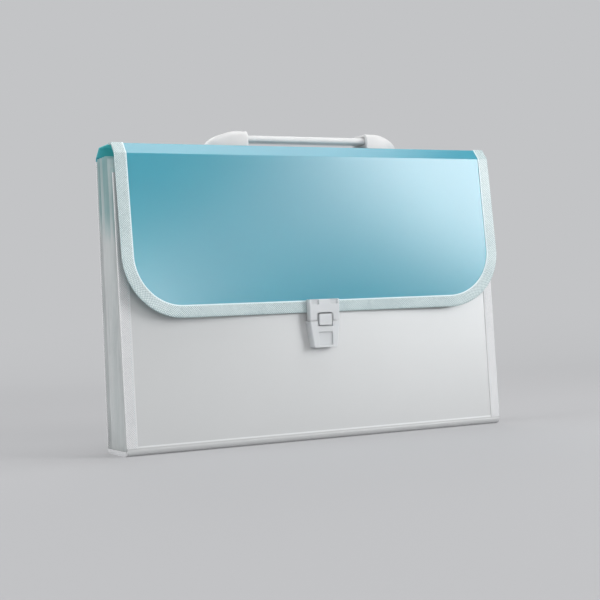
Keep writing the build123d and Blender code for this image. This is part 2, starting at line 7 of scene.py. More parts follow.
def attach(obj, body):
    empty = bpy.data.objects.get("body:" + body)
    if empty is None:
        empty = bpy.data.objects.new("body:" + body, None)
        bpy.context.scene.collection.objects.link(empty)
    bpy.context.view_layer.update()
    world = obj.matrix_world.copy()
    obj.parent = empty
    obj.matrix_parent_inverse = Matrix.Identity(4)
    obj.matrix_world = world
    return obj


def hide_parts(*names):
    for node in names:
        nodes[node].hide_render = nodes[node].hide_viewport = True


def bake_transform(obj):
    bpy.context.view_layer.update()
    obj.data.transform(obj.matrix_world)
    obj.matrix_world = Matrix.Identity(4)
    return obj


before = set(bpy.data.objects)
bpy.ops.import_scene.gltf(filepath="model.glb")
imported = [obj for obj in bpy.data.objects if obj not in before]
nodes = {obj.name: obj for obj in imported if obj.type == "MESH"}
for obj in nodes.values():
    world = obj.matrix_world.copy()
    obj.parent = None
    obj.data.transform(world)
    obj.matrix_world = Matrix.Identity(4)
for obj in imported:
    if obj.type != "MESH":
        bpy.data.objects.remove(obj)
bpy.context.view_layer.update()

# Sizes of the object in metres, in the frame of the model; a pair is a place (y, z)
MM = 0.001
HALF_WIDTH = 0.165
SIDES = ((-1, "left"), (1, "right"))

# The flap: its creases, its free edge and how far it stands off the lower crease's line
FLAP_TOP = 0.230
REAR_CREASE = (0.0220, 0.2225)
REAR_CORNER = (0.0140, 0.2297)
FRONT_CREASE = (-0.0140, 0.2297)
LOWER_CREASE = (-0.0201, 0.2217)
FLAP_EDGE = 0.0994
MIDDLE_REACH = 0.0011
CORNER_REACH = 0.0117
CORNER_RADIUS = 0.047
SHEET_THICK = 0.0006
SHEET_INSET = 0.0006
SHEET_HALF = HALF_WIDTH - SHEET_INSET
BEND_REACH = 0.0012
CREASE_ZONE = 0.0016

# Binding tapes: width that shows, half thickness, and half thickness of the sheet inside
FLAP_TAPE = 0.0095
FLAP_TAPE_HALF = 0.00078
FLAP_TAPE_CORE = 0.00033
FLAP_TAPE_END = 0.00508
SIDE_TAPE = 0.0085
SIDE_TAPE_HALF = 0.00088
SIDE_TAPE_CORE = 0.00043
FLAP_SEAM_INSET = 0.0080
SIDE_SEAM_INSET = 0.0070
STITCH_SPACING = 0.0028
STITCH_LENGTH = 0.0019
STITCH_RADIUS = 0.00016

# Walls, base and pleats
COVER_MIDDLE = 0.02125
BASE_CREASE = 0.0052
LEAN = math.radians(1.85)
BACK_FOOT = 0.005
BACK_HEIGHT = 0.220
FRONT_FOOT = 0.0006
FRONT_HEIGHT = 0.203
OVERLAP_EDGE = 0.169
FOLD_HEIGHT = 0.0066
BASE_HALF_DEPTH = 0.02165
LIP_RADIUS = 0.0043
LIP_HEIGHT = 0.0036
LIP_UV = (0.0014, 0.0006)
POCKET_FLOOR = 0.00163
GUSSET_BACK = 0.02007
FILM_GAP = 0.0003
FILM_RISE = 0.0022
PLEATS = 6
PLEAT_DEPTH = 0.020
OUTER_FOLD = 0.1640

# Handle: two caps and a strap
CAP_X = 0.053
CAP_LENGTH = 0.031
CAP_HEIGHT = 0.0117
CAP_HALF = 0.0125
CAP_WALL = 0.0017
CAP_STRAIGHT = 0.007
CAP_ROUND = 0.0252
DOME_RADIUS = 0.03454
CAP_SHOULDER = 0.0045
SLOT_HALF = 0.0086
SLOT_LOW = 0.0037
SLOT_HIGH = 0.0100
SLOT_ROUND = 0.0016
HANDLE_Y = -0.001
STRAP_Z = 0.2366
STRAP_WIDE = 0.016
STRAP_THICK = 0.0046
STRAP_ROUND = 0.0020
CHANNEL_DEPTH = 0.0005
CHANNEL_SIDE = 0.0006
HEAD_EXTRA = 0.003
HEAD_START = 0.0608
HEAD_GROWTH = 0.0008
HEAD_END = 0.0666

# Thin webs at the creases
REAR_WEB_REACH = 0.0012
BASE_WEB_REACH = 0.0013

# The camera that was fitted to the photo; the backdrop follows its yaw, and the lamps aim at the middle
OBJECT_MIDDLE = (0.0, 0.0, 0.12)
CAMERA_YAW = math.radians(-27.35)
CAMERA_PITCH = math.radians(-0.68)
CAMERA_ROLL = math.radians(-2.51)
CAMERA_PLACE = (-0.4925, -0.9380, 0.0972)


# Colours and material helpers

def linear(hexa):
    """A display colour such as C4C5C7 as the linear values that shaders take."""
    out = []
    for i in (0, 2, 4):
        c = int(hexa[i:i + 2], 16) / 255
        out.append(c / 12.92 if c <= 0.04045 else ((c + 0.055) / 1.055) ** 2.4)
    return (*out, 1.0)


def darker(colour, share):
    """The colour with its light brought down to a share."""
    return tuple(c * share for c in colour[:3]) + (1.0,)


class Shader:
    """A material's node tree with short names for the nodes used here."""

    def __init__(self, name):
        self.mat = bpy.data.materials.new(name)
        self.mat.use_nodes = True
        self.tree = self.mat.node_tree
        self.tree.nodes.clear()
        self.out = self.node("ShaderNodeOutputMaterial")
        self.coords = self.node("ShaderNodeTexCoord")

    def node(self, kind, **values):
        n = self.tree.nodes.new(kind)
        for key, value in values.items():
            setattr(n, key, value)
        return n

    def link(self, source, target):
        self.tree.links.new(source, target)

    def fill(self, socket, value):
        if isinstance(value, bpy.types.NodeSocket):
            self.link(value, socket)
        else:
            socket.default_value = value

    def math(self, operation, a, b=0.0):
        n = self.node("ShaderNodeMath", operation=operation)
        self.fill(n.inputs[0], a)
        self.fill(n.inputs[1], b)
        return n.outputs[0]

    def add(self, a, b):
        return self.math("ADD", a, b)

    def times(self, a, b):
        return self.math("MULTIPLY", a, b)

    def absolute(self, value):
        return self.math("ABSOLUTE", value)

    def axes(self, source=None):
        n = self.node("ShaderNodeSeparateXYZ")
        self.link(source or self.coords.outputs["Object"], n.inputs[0])
        return n.outputs

    def scaled(self, scale):
        n = self.node("ShaderNodeMapping")
        n.inputs["Scale"].default_value = scale
        self.link(self.coords.outputs["Object"], n.inputs[0])
        return n.outputs[0]

    def noise(self, scale, detail=3.0, rough=0.5, source=None):
        n = self.node("ShaderNodeTexNoise")
        n.inputs["Scale"].default_value = scale
        n.inputs["Detail"].default_value = detail
        n.inputs["Roughness"].default_value = rough
        self.link(source or self.coords.outputs["Object"], n.inputs["Vector"])
        return n.outputs["Fac"]

    def span(self, value, low, high, to_low=0.0, to_high=1.0):
        """A value between low and high, carried over to the range from to_low to to_high."""
        n = self.node("ShaderNodeMapRange")
        n.clamp = True
        self.fill(n.inputs["Value"], value)
        n.inputs["From Min"].default_value = low
        n.inputs["From Max"].default_value = high
        n.inputs["To Min"].default_value = to_low
        n.inputs["To Max"].default_value = to_high
        return n.outputs["Result"]

    def mix(self, share, a, b):
        n = self.node("ShaderNodeMix", data_type="RGBA")
        self.fill(n.inputs["Factor"], share)
        self.fill(n.inputs[6], a)
        self.fill(n.inputs[7], b)
        return n.outputs[2]

    def bump(self, height, strength, distance, normal=None):
        n = self.node("ShaderNodeBump")
        n.inputs["Strength"].default_value = strength
        n.inputs["Distance"].default_value = distance
        self.link(height, n.inputs["Height"])
        if normal is not None:
            self.link(normal, n.inputs["Normal"])
        return n.outputs["Normal"]

    def surface(self, kind, normal=None, **inputs):
        """A surface shader; an underscore in an input's name stands for a space."""
        n = self.node(kind)
        if normal is not None:
            self.link(normal, n.inputs["Normal"])
        for key, value in inputs.items():
            self.fill(n.inputs[key.replace("_", " ")], value)
        return n

    def principled(self, colour, rough, normal=None, **more):
        body = self.surface("ShaderNodeBsdfPrincipled", normal, Base_Color=colour, Roughness=rough, **more)
        return body.outputs[0]

    def translucent(self, colour, normal=None):
        return self.surface("ShaderNodeBsdfTranslucent", normal, Color=colour).outputs[0]

    def gloss(self, colour, rough, normal=None):
        shine = self.surface("ShaderNodeBsdfAnisotropic", normal, Color=colour, Roughness=rough)
        shine.distribution = "BECKMANN"
        return shine.outputs[0]

    def clear(self):
        return self.node("ShaderNodeBsdfTransparent").outputs[0]

    def blend(self, share, a, b):
        n = self.node("ShaderNodeMixShader")
        self.fill(n.inputs[0], share)
        self.link(a, n.inputs[1])
        self.link(b, n.inputs[2])
        return n.outputs[0]

    def done(self, surface):
        self.link(surface, self.out.inputs["Surface"])
        return self.mat


# Materials

def frosted_sheet(name, tint, through, see, sheen=0.05, shows=None):
    """Frosted polypropylene: fine grain, light comes through, and what lies behind it shows as a tint; shows
    can also add painted highlights and painted shade.
    """
    s = Shader(name)
    rough = 0.42
    cloud = s.noise(9.0, 2.0)
    grain = s.noise(5200.0, 2.0, 0.6)
    ripple = s.noise(14.0, 1.0)
    colour = s.mix(s.span(cloud, 0.3, 0.7), tint, darker(tint, 0.96))
    if shows is not None:
        colour = shows(s, colour)
    normal = s.bump(grain, 0.10, 0.0001)
    normal = s.bump(ripple, 0.12, 0.002, normal)
    body = s.principled(colour, s.span(grain, 0.3, 0.7, rough, rough + 0.10), normal)
    body = s.blend(sheen, body, s.gloss(linear("F2F7FA"), 0.34, normal))
    glow = s.translucent(colour, normal)
    sheet = s.blend(through, body, glow)
    return s.done(s.blend(see, sheet, s.clear()))


def overlap_and_fold_highlight(s, colour):
    """The blue overlap shows through the back wall, and a painted highlight runs along the front fold."""
    x, y, z = s.axes()
    height = s.add(z, s.times(s.noise(30.0, 1.0), 0.004))
    up = s.span(height, OVERLAP_EDGE - 0.0015, OVERLAP_EDGE + 0.0015)
    back = s.span(y, 0.0204, 0.0206)
    across = s.span(s.absolute(x), 0.1555, 0.157, 1.0, 0.0)
    overlap = s.times(s.times(up, back), across)
    tinted = s.mix(s.times(overlap, 0.62), colour, linear("5FB0BF"))
    # Painted highlight: a bright line along the front fold, where light catches the turn of the base.
    crease = s.span(s.absolute(s.math("SUBTRACT", z, FOLD_HEIGHT)), 0.0003, 0.0008, 0.75, 0.0)
    ahead = s.span(y, -0.0200, -0.0195, 1.0, 0.0)
    return s.mix(s.times(crease, ahead), tinted, linear("F3F5F5"))


def pleats_shade(s, colour):
    """Folds seen through each other, with painted shade on them, as upright light and dark streaks; blue ones
    where the overlap lies behind.
    """
    z = s.axes()[2]
    lines = s.noise(1.0, 4.0, 0.75, s.scaled((60.0, 900.0, 2.2)))
    broad = s.noise(1.0, 2.0, 0.5, s.scaled((10.0, 330.0, 1.2)))
    wave = s.noise(1.0, 2.0, 0.6, s.scaled((20.0, 420.0, 5.0)))
    # Painted shade: fine upright light and dark streaks on the folds.
    shaded = s.mix(s.span(lines, 0.38, 0.68), linear("E6EAEA"), colour)
    up = s.span(s.add(z, s.times(wave, 0.030)), 0.172, 0.196)
    streak = s.times(up, s.span(broad, 0.36, 0.60, 0.10, 0.60))
    return s.mix(streak, shaded, linear("7CC3C4"))


def blue_sheet():
    """Blue sheet with a satin, faintly pearly face that scatters some light through."""
    s = Shader("blue_sheet")
    grain = s.noise(3600.0, 2.0, 0.6)
    cloud = s.noise(7.0, 2.0)
    waves = s.noise(5.0, 1.0, source=s.scaled((1.0, 1.0, 0.6)))
    colour = s.mix(s.span(cloud, 0.35, 0.65), linear("3DA6C1"), linear("46AEC8"))
    normal = s.bump(grain, 0.12, 0.00008)
    normal = s.bump(waves, 0.10, 0.003, normal)
    body = s.principled(colour, s.span(grain, 0.3, 0.7, 0.44, 0.54), normal, Specular_IOR_Level=0.2)
    pearl = s.gloss(linear("FCF8F8"), s.span(grain, 0.3, 0.7, 0.22, 0.26), normal)
    body = s.blend(0.132, body, pearl)
    return s.done(s.blend(0.48, body, s.translucent(linear("8ADCD8"), normal)))


def woven_tape(name, light, dark, edge):
    """Plain woven tape with a painted highlight along its inner edge; its threads follow the piece's UV, in
    metres.
    """
    s = Shader(name)
    u, v, _ = s.axes(s.coords.outputs["UV"])
    pitch = 0.0017
    along = s.times(s.add(u, v), math.pi / pitch)
    across = s.times(s.math("SUBTRACT", u, v), math.pi / pitch)
    weave = s.times(s.math("SINE", along), s.math("SINE", across))
    weave = s.math("POWER", s.absolute(weave), 0.6)
    fibre = s.noise(2500.0, 2.0, 0.6)
    worn = s.noise(60.0, 3.0)
    loose = s.span(s.noise(900.0, 2.0, 0.6), 0.35, 0.65, 0.75, 1.3)
    shade = s.add(s.times(s.times(weave, loose), 0.8), s.times(worn, 0.3))
    colour = s.mix(s.span(shade, 0.10, 0.85), dark, light)
    # Painted highlight: an even bright band along the tape's inner edge, in the edge colour.
    edge_highlight = s.span(v, 0.0011, 0.0015, 1.0, 0.0)
    colour = s.mix(edge_highlight, colour, edge)
    height = s.add(weave, s.times(fibre, 0.35))
    normal = s.bump(height, 0.6, 0.0003)
    body = s.principled(colour, 0.72, normal, Sheen_Weight=0.15, Specular_IOR_Level=0.3)
    body = s.blend(0.35, body, s.translucent(colour, normal))
    return s.done(s.blend(0.045, body, s.gloss(linear("F8F6F7"), 0.38)))


def moulded(name, colour, rough, through=0.2, glow=0.05):
    """Moulded plastic with soft edges, faint flow marks and fine scuffs."""
    s = Shader(name)
    soft = s.node("ShaderNodeBevel", samples=6)
    soft.inputs["Radius"].default_value = 0.00035
    flow = s.noise(90.0, 3.0)
    fine = s.noise(2200.0, 3.0, 0.6)
    scuff = s.noise(420.0, 4.0, 0.7, s.scaled((1.0, 1.0, 0.25)))
    tone = s.mix(s.span(flow, 0.3, 0.7), colour, darker(colour, 0.95))
    normal = s.bump(fine, 0.05, 0.0001, soft.outputs[0])
    normal = s.bump(flow, 0.05, 0.0006, normal)
    roughness = s.span(scuff, 0.42, 0.72, rough, rough + 0.16)
    body = s.principled(tone, roughness, normal, Subsurface_Weight=through, Subsurface_Scale=0.006,
                        Subsurface_Radius=(1.0, 1.0, 1.0))
    return s.done(s.blend(glow, body, s.translucent(colour, normal)))


def rivet_metal():
    """Satin aluminium with turning marks."""
    s = Shader("rivet_metal")
    marks = s.noise(900.0, 4.0, 0.6)
    colour = s.mix(s.span(marks, 0.3, 0.7), linear("B9BBBD"), linear("D2D4D6"))
    rough = s.span(marks, 0.3, 0.7, 0.28, 0.42)
    return s.done(s.principled(colour, rough, s.bump(marks, 0.08, 0.0001), Metallic=1.0))


def label_paper():
    """Uncoated paper with fibres."""
    s = Shader("label_paper")
    fibre = s.noise(2600.0, 4.0, 0.7, s.scaled((1.0, 1.0, 2.5)))
    colour = s.mix(s.span(fibre, 0.3, 0.7), linear("E9E8E2"), linear("F4F3EE"))
    return s.done(s.principled(colour, 0.85, s.bump(fibre, 0.15, 0.00005)))


def thread():
    """Twisted sewing thread."""
    s = Shader("thread")
    twist = s.noise(6000.0, 2.0, 0.5, s.scaled((1.0, 1.0, 0.4)))
    colour = s.mix(s.span(twist, 0.3, 0.7), linear("B9CBCD"), linear("E6EDEE"))
    return s.done(s.principled(colour, 0.6, s.bump(twist, 0.3, 0.0001)))


MATERIAL = {
    "blue": blue_sheet(),
    "panel": frosted_sheet("frosted_panel", linear("CCCDCD"), through=0.25, see=0.02, sheen=0.15,
                           shows=overlap_and_fold_highlight),
    "film": frosted_sheet("pleated_film", linear("FBFCFC"), through=0.35, see=0.04, sheen=0.03,
                          shows=pleats_shade),
    "divider": frosted_sheet("divider_sheet", linear("E0E5E6"), through=0.40, see=0.10),
    # The last colour of each tape is its painted highlight along the inner edge.
    "flap_tape": woven_tape("flap_tape", linear("E2EFEF"), linear("6F9197"), linear("EAFAFC")),
    "side_tape": woven_tape("side_tape", linear("F0F0F1"), linear("BFC3C5"), linear("E6E7E8")),
    "handle": moulded("handle_plastic", linear("E4E4E4"), 0.34, through=0.5, glow=0.34),
    "buckle": moulded("buckle_plastic", linear("D2D5D7"), 0.30, through=0.5, glow=0.22),
    "backing": moulded("backing_plastic", linear("DADCDE"), 0.45),
    "rivet": rivet_metal(),
    "paper": label_paper(),
    "thread": thread(),
}


# Meshes

def dress(obj, material):
    """Gives an object one of the materials and no other."""
    obj.data.materials.clear()
    obj.data.materials.append(MATERIAL[material])


def mesh_piece(name, verts, faces, material, angle=35.0, uvs=None):
    """A piece that is smooth where its faces meet at less than the angle; uvs has a pair for each corner."""
    mesh = bpy.data.meshes.new(name)
    mesh.from_pydata(verts, [], faces)
    if uvs is not None:
        layer = mesh.uv_layers.new(name="UVMap")
        for corner, uv in zip(layer.data, uvs):
            corner.uv = uv
    mesh.validate()
    mesh.update()
    obj = bpy.data.objects.new(name, mesh)
    bpy.context.scene.collection.objects.link(obj)
    dress(obj, material)
    for poly in mesh.polygons:
        poly.use_smooth = True
    mesh.set_sharp_from_angle(angle=math.radians(angle))
    return obj


def grid_piece(name, rows, material, closed=False, uvs=None):
    """A piece from rows of points; closed joins each row's ends, and uvs(row, column) gives a place."""
    count = len(rows[0])
    verts = [tuple(p) for row in rows for p in row]
    faces = []
    corners = []
    for r in range(len(rows) - 1):
        for c in range(count if closed else count - 1):
            c2 = (c + 1) % count
            faces.append((r * count + c, r * count + c2, (r + 1) * count + c2, (r + 1) * count + c))
            corners += [(r, c), (r, c + 1), (r + 1, c + 1), (r + 1, c)]
    places = None if uvs is None else [uvs(r, c) for r, c in corners]
    return mesh_piece(name, verts, faces, material, uvs=places)


def close_ends(piece, count, rows):
    """Flat ends on a swept piece."""
    mesh = piece.data
    build = bmesh.new()
    build.from_mesh(mesh)
    build.verts.ensure_lookup_table()
    build.faces.new([build.verts[i] for i in reversed(range(count))])
    build.faces.new([build.verts[(rows - 1) * count + i] for i in range(count)])
    build.to_mesh(mesh)
    build.free()


def unit(a, b):
    """The direction from a to b, both (y, z)."""
    d = math.dist(a, b)
    return ((b[0] - a[0]) / d, (b[1] - a[1]) / d)


# The flap's shape: a place on it is x and the way s along its profile, 0 at the lower crease

BEVEL = math.dist(FRONT_CREASE, LOWER_CREASE)


def flap_reach(x):
    """How far the free edge stands in front of the lower crease at x."""
    return MIDDLE_REACH + (CORNER_REACH - MIDDLE_REACH) * (x / HALF_WIDTH) ** 2


def flap_point(x, s, out):
    """A point of the flap: s runs down the front below 0, and above 0 up the bevel and back along the top."""
    down = unit(LOWER_CREASE, (LOWER_CREASE[0] - flap_reach(x), FLAP_EDGE))
    up = unit(LOWER_CREASE, FRONT_CREASE)
    if s <= 0:
        base = (LOWER_CREASE[0] + down[0] * s / down[1], LOWER_CREASE[1] + s)
        run = (-down[0], -down[1])
        near = max(0.0, 1 + s / BEND_REACH)
        other = up
    elif s < BEVEL:
        base = (LOWER_CREASE[0] + up[0] * s, LOWER_CREASE[1] + up[1] * s)
        run = up
        low = max(0.0, 1 - s / BEND_REACH)
        high = max(0.0, 1 - (BEVEL - s) / BEND_REACH)
        near = max(low, high)
        other = (-down[0], -down[1]) if low > high else (1.0, 0.0)
    else:
        base = (FRONT_CREASE[0] + s - BEVEL, FRONT_CREASE[1])
        run = (1.0, 0.0)
        near = max(0.0, 1 - (s - BEVEL) / BEND_REACH)
        other = up
    near = 0.5 * near * near * (3 - 2 * near)
    turned = Vector(run).lerp(Vector(other), near).normalized()
    return Vector((x, base[0] - turned[1] * out, base[1] + turned[0] * out))


def flap_low(x, inset):
    """How far down the profile the flap goes at x, with its outline moved in by the inset."""
    radius = CORNER_RADIUS - inset
    centre = HALF_WIDTH - CORNER_RADIUS
    low = FLAP_EDGE + inset
    if abs(x) > centre:
        across = min(abs(x) - centre, radius)
        low = FLAP_EDGE + CORNER_RADIUS - math.sqrt(max(0.0, radius ** 2 - across ** 2))
    return low - LOWER_CREASE[1]


def flap_stations(half, radius):
    """Places across the flap, close together where its corners turn up."""
    centre = half - radius
    corner = [centre + radius * math.sin(math.pi / 2 * i / 20) for i in range(1, 21)]
    middle = [centre * i / 24 for i in range(-24, 25)]
    return [-x for x in reversed(corner)] + middle + corner


def crease_levels(low, high):
    """Places along the profile from low to high, close together at the two creases."""
    marks = {low, high}
    for crease in (0.0, BEVEL):
        marks.update(crease + step * MM for step in (-1.6, -1.2, -0.8, -0.4, 0.0, 0.4, 0.8, 1.2, 1.6))
    marks.update(low + (-CREASE_ZONE - low) * i / 14 for i in range(15))
    top = BEVEL + CREASE_ZONE
    marks.update(top + (high - top) * i / 6 for i in range(7))
    return sorted(m for m in marks if low - 1e-9 <= m <= high + 1e-9)


def rear_bevel(x, out):
    """Points down the rear bevel at x, on the face that lies out from the sheet's middle."""
    run = unit(REAR_CORNER, REAR_CREASE)
    length = math.dist(REAR_CORNER, REAR_CREASE) - SHEET_INSET
    points = []
    for step in range(1, 7):
        s = length * step / 6
        turn = min(1.0, step / 2)
        normal = (-run[1] * turn, run[0] * turn + (1 - turn))
        points.append(Vector((x, REAR_CORNER[0] + run[0] * s + normal[0] * out,
                              REAR_CORNER[1] + run[1] * s + normal[1] * out)))
    return points


def flap_skin():
    """The flap's top and front as one sheet that bends at its front creases."""
    face = SHEET_THICK / 2
    top = BEVEL + (REAR_CORNER[0] - FRONT_CREASE[0])
    upper = [s for s in crease_levels(-CREASE_ZONE, top) if s > -CREASE_ZONE + 1e-9]
    rows = []
    for x in flap_stations(SHEET_HALF, CORNER_RADIUS - SHEET_INSET):
        low = flap_low(x, SHEET_INSET)
        levels = [low + (-CREASE_ZONE - low) * i / 14 for i in range(15)] + upper
        outer = [flap_point(x, s, face) for s in levels] + rear_bevel(x, face)
        inner = [flap_point(x, s, -face) for s in levels] + rear_bevel(x, -face)
        rows.append(outer + list(reversed(inner)))
    return rows


toward_front = unit(FRONT_CREASE, LOWER_CREASE)
skin = grid_piece("flap_skin", flap_skin(), "blue", closed=True)
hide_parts("flap_top_strip", "flap_front_sheet")
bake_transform(skin)


# Binding tapes: a folded strip swept along an edge

def tape_loop(width, half, core):
    """The folded tape cut across: (distance in from the edge, height over the sheet's middle)."""
    soft = 0.00012
    front = [(width, core), (width, half - soft), (width - soft, half), (width - 0.0008, half + 0.00003)]
    front += [(width * share, half) for share in (0.8, 0.6, 0.4, 0.25)]
    front += [(0.0007, half), (0.00025, half * 0.86), (0.00004, half * 0.5), (0.0, 0.0)]
    back = [(t, -d) for t, d in reversed(front[:-1])]
    inside = [(0.0011, -core), (0.0007, 0.0), (0.0011, core)]
    return front + back + inside


def tape_piece(name, stations, place, width, material, half, core):
    """Sweeps the folded tape along stations, where place(station, inset, height) gives each point."""
    loop = tape_loop(width, half, core)
    rows = [[place(station, t, d) for t, d in loop] for station in stations]
    along = [0.0]
    for before, after in zip(rows, rows[1:]):
        along.append(along[-1] + (after[2] - before[2]).length)
    across = [0.0]
    for before, after in zip(loop, loop[1:] + loop[:1]):
        across.append(across[-1] + math.dist(before, after))
    piece = grid_piece(name, rows, material, closed=True, uvs=lambda r, c: (along[r], across[c]))
    close_ends(piece, len(loop), len(rows))
    return piece, along[-1]


def flap_tape_stations():
    """(x, s, normal) all the way round the flap's free edge, from one end on the top to the other."""
    corner = FLAP_EDGE + CORNER_RADIUS - LOWER_CREASE[1]
    centre = HALF_WIDTH - CORNER_RADIUS
    levels = crease_levels(corner, BEVEL + FLAP_TAPE_END)
    side = [(-HALF_WIDTH, s, (1.0, 0.0)) for s in reversed(levels)]
    turn = []
    for step in range(1, 25):
        a = math.pi + math.pi / 2 * step / 24
        n = (math.cos(a), math.sin(a))
        turn.append((-centre + CORNER_RADIUS * n[0], corner + CORNER_RADIUS * n[1], (-n[0], -n[1])))
    foot = [(-centre + centre * step / 20, corner - CORNER_RADIUS, (0.0, 1.0)) for step in range(1, 21)]
    half = side + turn + foot
    return half + [(-x, s, (-n[0], n[1])) for x, s, n in reversed(half[:-1])]


def on_flap(station, inset, out):
    """A point of the flap's tape, by its station, inset and distance out of the sheet's middle."""
    x, s, normal = station
    return flap_point(x + normal[0] * inset, s + normal[1] * inset, out)


def wall_place(side, foot_y, foot_z, lean):
    """Points on a wall's side edge, by height along the wall, inset and distance out of its middle."""
    def place(height, inset, out):
        x = side * (HALF_WIDTH - inset)
        y = foot_y + height * math.sin(lean) - out * math.cos(lean)
        z = foot_z + height * math.cos(lean) + out * math.sin(lean)
        return Vector((x, y, z))
    return place


def even_steps(low, high, count):
    """Values from low to high in equal steps."""
    return [low + (high - low) * i / count for i in range(count + 1)]


def base_lip(side):
    """The tape's lip round one end of the base: rounded below like the folds, straight above."""
    flat = BASE_HALF_DEPTH - LIP_RADIUS
    front_turn = even_steps(math.pi, 1.5 * math.pi, 8)
    back_turn = even_steps(-math.pi / 2, 0.0, 8)
    lower = [(-flat + LIP_RADIUS * math.cos(a), LIP_RADIUS + LIP_RADIUS * math.sin(a)) for a in front_turn]
    lower += [(-flat + 2 * flat * step / 16, 0.0) for step in range(1, 16)]
    lower += [(flat + LIP_RADIUS * math.cos(a), LIP_RADIUS + LIP_RADIUS * math.sin(a)) for a in back_turn]
    inner, edge, bulge = -0.00057, -0.0001, 0.00002
    section = ((inner, 0.0), (edge, 0.0), (0.0, 0.06), (bulge, 0.5), (0.0, 0.94), (edge, 1.0), (inner, 1.0))
    rows = []
    for y, z in lower:
        top = max(LIP_HEIGHT, z + 0.0001)
        rows.append([Vector((side * (HALF_WIDTH + out), y, z + (top - z) * share)) for out, share in section])
    return rows


flap_edge = flap_tape_stations()
flap_tape, flap_tape_length = tape_piece("flap_tape", flap_edge, on_flap, FLAP_TAPE, "flap_tape",
                                         FLAP_TAPE_HALF, FLAP_TAPE_CORE)
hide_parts("flap_front_binding", "flap_top_binding")
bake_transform(flap_tape)

# Each wall: its body, its sheet, its foot (y, z), its lean, and the tape's lowest and highest place along it
WALLS = {
    "front": ("front_panel", "front_panel", (-COVER_MIDDLE, BASE_CREASE), LEAN, FRONT_FOOT, FRONT_HEIGHT),
    "back": ("back_and_base", "back_and_base_sheet", (COVER_MIDDLE, 0.0), 0.0, BACK_FOOT, BACK_HEIGHT),
}
side_tapes = []
for side, word in SIDES:
    for wall, (body, sheet, wall_foot, lean, low, high) in WALLS.items():
        heights = even_steps(low, high, 40)
        place = wall_place(side, *wall_foot, lean)
        piece, length = tape_piece(f"{wall}_side_tape_{word}", heights, place, SIDE_TAPE, "side_tape",
                                   SIDE_TAPE_HALF, SIDE_TAPE_CORE)
        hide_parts(f"{wall}_binding_{word}")
        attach(piece, body)
        side_tapes.append((f"{wall}_{word}", body, sheet, piece, place, heights, length))

for side, word in SIDES:
    rows = base_lip(side)
    lip = grid_piece(f"base_lip_{word}", rows, "side_tape", closed=True,
                     uvs=lambda r, c: (r * LIP_UV[0], c * LIP_UV[1]))
    close_ends(lip, len(rows[0]), len(rows))
    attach(lip, "back_and_base")


# Stitches

def stitches(name, places):
    """Short threads along a row of (point, normal) places, one for each spacing along it."""
    run = [0.0]
    for before, after in zip(places, places[1:]):
        run.append(run[-1] + (after[0] - before[0]).length)

    def at(distance):
        for index in range(len(run) - 1):
            if run[index + 1] >= distance:
                share = (distance - run[index]) / max(run[index + 1] - run[index], 1e-9)
                a, b = places[index], places[index + 1]
                return a[0].lerp(b[0], share), a[1].lerp(b[1], share).normalized()
        return places[-1]

    def ring(start, share):
        """The thread cut across, at a share of the way along one stitch."""
        point, normal = at(min(start + STITCH_LENGTH * share, run[-1] - 1e-6))
        ahead, _ = at(min(start + STITCH_LENGTH * share + 0.0001, run[-1] - 1e-7))
        lift = math.sin(math.pi * share)
        centre = point + normal * STITCH_RADIUS * (1.3 * lift - 0.8)
        tangent = (ahead - point).normalized() if (ahead - point).length > 0 else Vector((1, 0, 0))
        sideways = tangent.cross(normal).normalized()
        thick = STITCH_RADIUS * (0.55 + 0.45 * lift)
        turns = [2 * math.pi * k / 6 for k in range(6)]
        return [tuple(centre + sideways * thick * math.cos(a) + normal * thick * math.sin(a)) for a in turns]

    verts, faces = [], []
    for number in range(int(run[-1] / STITCH_SPACING)):
        first = len(verts)
        for step in range(6):
            verts += ring((number + 0.2) * STITCH_SPACING, step / 5)
        for r in range(5):
            low, high = first + r * 6, first + (r + 1) * 6
            for k in range(6):
                k2 = (k + 1) % 6
                faces.append((low + k, low + k2, high + k2, high + k))
    return mesh_piece(name, verts, faces, "thread", 80.0)


def seam_line(stations, place, inset, half):
    """Points on a tape's face with the way out of it, for the stitches."""
    line = []
    for station in stations:
        here = place(station, inset, half)
        line.append((here, (here - place(station, inset, 0.0)).normalized()))
    return line


for word, sign in (("outer", 1), ("inner", -1)):
    seam = stitches(f"flap_stitches_{word}",
                    seam_line(flap_edge, on_flap, FLAP_SEAM_INSET, sign * FLAP_TAPE_HALF))
    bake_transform(seam)

for key, body, sheet, piece, place, heights, length in side_tapes:
    for word, sign in (("outer", 1), ("inner", -1)):
        seam = stitches(f"side_stitches_{key}_{word}",
                        seam_line(heights, place, SIDE_SEAM_INSET, sign * SIDE_TAPE_HALF))
        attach(seam, body)


# Pleated ends

def front_edge_y(height):
    """The inner face of the front wall's tape at a height."""
    return -COVER_MIDDLE + (height - BASE_CREASE) * math.tan(LEAN) + SIDE_TAPE_HALF


def pleat_profile():
    """(how far in from the outer folds, share of the way from back to front) along the pleats."""
    points = []
    legs = 2 * PLEATS
    steps = 7
    for leg in range(legs):
        for step in range(steps):
            t = step / steps
            fall = t if leg % 2 == 0 else 1 - t
            eased = fall - 0.035 * math.sin(2 * math.pi * fall)
            points.append((PLEAT_DEPTH * eased, (leg + t) / legs))
    points.append((0.0, 1.0))
    return points


def pleat_span(share):
    """The film's lowest and highest z at a share of the way from back to front, where its top falls."""
    top_back = BACK_HEIGHT + FILM_RISE
    top_front = BASE_CREASE + FRONT_HEIGHT * math.cos(LEAN)
    fall = max(0.0, (share - 0.55) / 0.45)
    top = top_back + (top_front - top_back) * fall * fall * (3 - 2 * fall)
    low = POCKET_FLOOR + 0.0002 * (1 - math.cos(share * 2 * math.pi * PLEATS))
    return low, top


